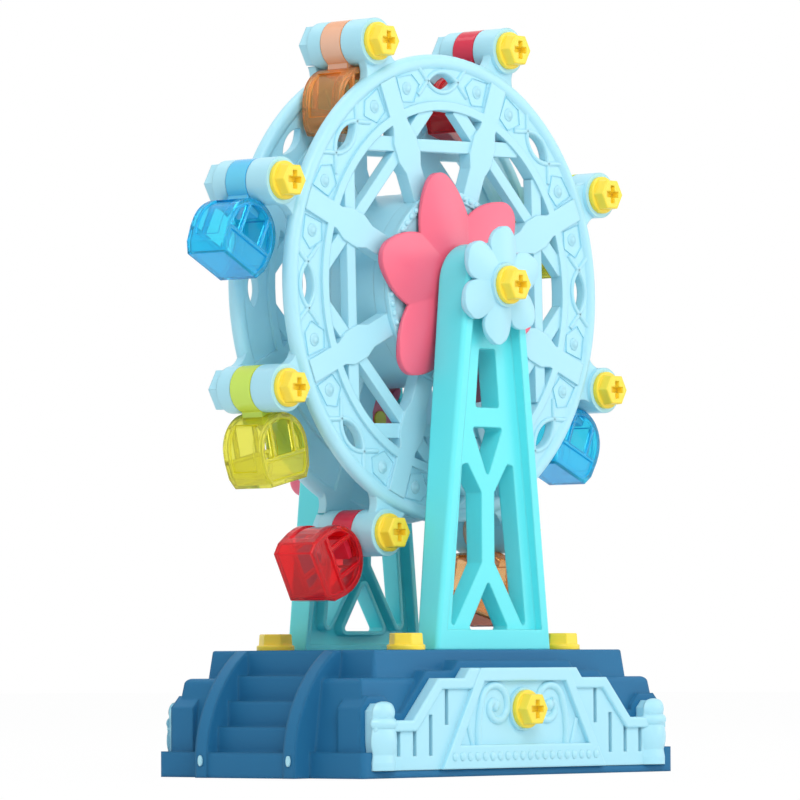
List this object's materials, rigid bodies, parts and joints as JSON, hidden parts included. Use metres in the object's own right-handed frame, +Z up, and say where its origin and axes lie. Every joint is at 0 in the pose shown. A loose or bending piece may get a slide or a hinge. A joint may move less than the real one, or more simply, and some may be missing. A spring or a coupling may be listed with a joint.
{
  "type": "crank ferris wheel toy",
  "caption": "Take-apart toy ferris wheel: a hand crank turns a bolted wheel of free swinging cabins between two A-frame towers on a stepped base.",
  "frame": {"origin": "middle of the base's underside", "axes": "+Z up, X along the base, Y along the axle with the crank at +Y and the hub flower at -Y"},
  "size_m": [0.2358, 0.129, 0.306],
  "materials": {
    "blue_abs": "semi-gloss",
    "pale_abs": "semi-gloss",
    "turquoise_abs": "semi-gloss",
    "pink_abs": "semi-gloss",
    "yellow_abs": "semi-gloss",
    "white_pom": "satin",
    "steel": "zinc plated",
    "orange_clear": "see-through tinted",
    "red_clear": "see-through tinted",
    "yellow_clear": "see-through tinted",
    "blue_clear": "see-through tinted"
  },
  "bodies": {
    "base": {"base_body": "blue_abs", "base_cover": "blue_abs", "base_screws": "steel", "rail_pegs": "pale_abs", "front_fence": "pale_abs", "rear_fence": "pale_abs", "front_fence_bolt": "yellow_abs", "rear_fence_bolt": "yellow_abs", "front_tower": "turquoise_abs", "rear_tower": "turquoise_abs", "tower_bolts": "yellow_abs", "foot_plates": "blue_abs"},
    "wheel": {"front_rim": "pale_abs", "rear_rim": "pale_abs", "hub_drum": "pale_abs", "hub_cap": "pale_abs", "axle": "white_pom", "front_flower": "pink_abs", "star_flower": "pale_abs", "wheel_gear": "white_pom", "front_axle_bolt": "yellow_abs", "rear_axle_bolt": "yellow_abs", "cabin_bolts": "yellow_abs", "cabin_nuts": "pale_abs"},
    "crank": {"crank_handle": "pink_abs", "crank_bolt": "yellow_abs", "pinion": "pink_abs"},
    "cabin_orange_top": {"cabin_orange_top": "orange_clear", "hanger_orange_top": "orange_clear"},
    "cabin_red_top": {"cabin_red_top": "red_clear", "hanger_red_top": "red_clear"},
    "cabin_yellow_right": {"cabin_yellow_right": "yellow_clear", "hanger_yellow_right": "yellow_clear"},
    "cabin_blue_right": {"cabin_blue_right": "blue_clear", "hanger_blue_right": "blue_clear"},
    "cabin_orange_bottom": {"cabin_orange_bottom": "orange_clear", "hanger_orange_bottom": "orange_clear"},
    "cabin_red_bottom": {"cabin_red_bottom": "red_clear", "hanger_red_bottom": "red_clear"},
    "cabin_yellow_left": {"cabin_yellow_left": "yellow_clear", "hanger_yellow_left": "yellow_clear"},
    "cabin_blue_left": {"cabin_blue_left": "blue_clear", "hanger_blue_left": "blue_clear"}
  },
  "joints": [
    {"name": "wheel_spin", "type": "hinge", "parent": "base", "child": "wheel", "pos_m": [0, 0, 0.19687], "axis": [0, 1, 0], "continuous": true},
    {"name": "crank_spin", "type": "hinge", "parent": "base", "child": "crank", "pos_m": [0, 0.035, 0.14487], "axis": [0, 1, 0], "continuous": true},
    {"name": "swing_orange_top", "type": "hinge", "parent": "wheel", "child": "cabin_orange_top", "pos_m": [-0.04333, -0.0003, 0.29438], "axis": [0, 1, 0], "continuous": true},
    {"name": "swing_red_top", "type": "hinge", "parent": "wheel", "child": "cabin_red_top", "pos_m": [0.03831, -0.0003, 0.29646], "axis": [0, 1, 0], "continuous": true},
    {"name": "swing_yellow_right", "type": "hinge", "parent": "wheel", "child": "cabin_yellow_right", "pos_m": [0.09751, -0.0003, 0.2402], "axis": [0, 1, 0], "continuous": true},
    {"name": "swing_blue_right", "type": "hinge", "parent": "wheel", "child": "cabin_blue_right", "pos_m": [0.09959, -0.0003, 0.15856], "axis": [0, 1, 0], "continuous": true},
    {"name": "swing_orange_bottom", "type": "hinge", "parent": "wheel", "child": "cabin_orange_bottom", "pos_m": [0.04333, -0.0003, 0.09936], "axis": [0, 1, 0], "continuous": true},
    {"name": "swing_red_bottom", "type": "hinge", "parent": "wheel", "child": "cabin_red_bottom", "pos_m": [-0.03831, -0.0003, 0.09728], "axis": [0, 1, 0], "continuous": true},
    {"name": "swing_yellow_left", "type": "hinge", "parent": "wheel", "child": "cabin_yellow_left", "pos_m": [-0.09751, -0.0003, 0.15354], "axis": [0, 1, 0], "continuous": true},
    {"name": "swing_blue_left", "type": "hinge", "parent": "wheel", "child": "cabin_blue_left", "pos_m": [-0.09959, -0.0003, 0.23518], "axis": [0, 1, 0], "continuous": true}
  ],
  "couplings": [
    {"joint": "crank_spin", "follows": "wheel_spin", "ratio": -2.3333}
  ]
}
